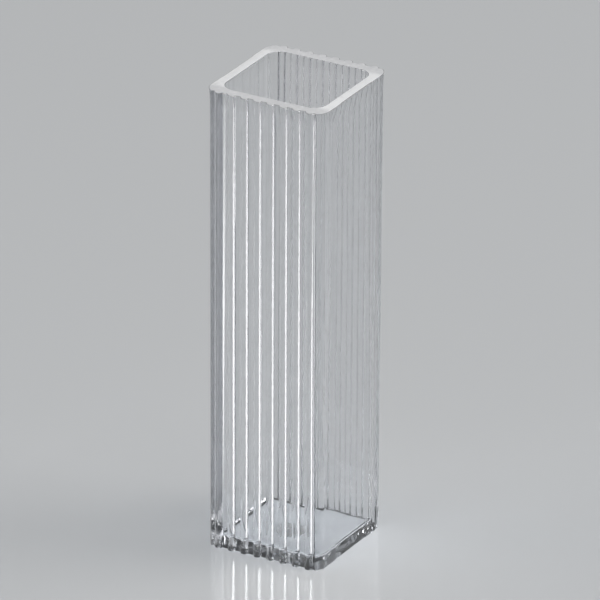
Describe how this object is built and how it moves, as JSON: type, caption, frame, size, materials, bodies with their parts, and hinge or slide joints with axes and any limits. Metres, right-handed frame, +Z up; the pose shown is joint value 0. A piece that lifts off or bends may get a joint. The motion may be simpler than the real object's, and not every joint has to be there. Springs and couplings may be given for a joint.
{
  "type": "cuvette",
  "caption": "Tall square clear plastic cuvette, open at the top, with smooth optical windows on two opposite sides and ribbed grip walls on the other two.",
  "frame": {"origin": "centre of the underside", "axes": "+Z up through the open rim, +Y and -Y out of the two optical windows so that the light path runs along Y, +X and -X out of the two ribbed grip walls"},
  "size_m": [0.0126, 0.0122, 0.045],
  "materials": {
    "clear_polystyrene": "polished clear moulded polystyrene, satin on the cut rim"
  },
  "bodies": {
    "root": {"cuvette": "clear_polystyrene"}
  },
  "joints": []
}
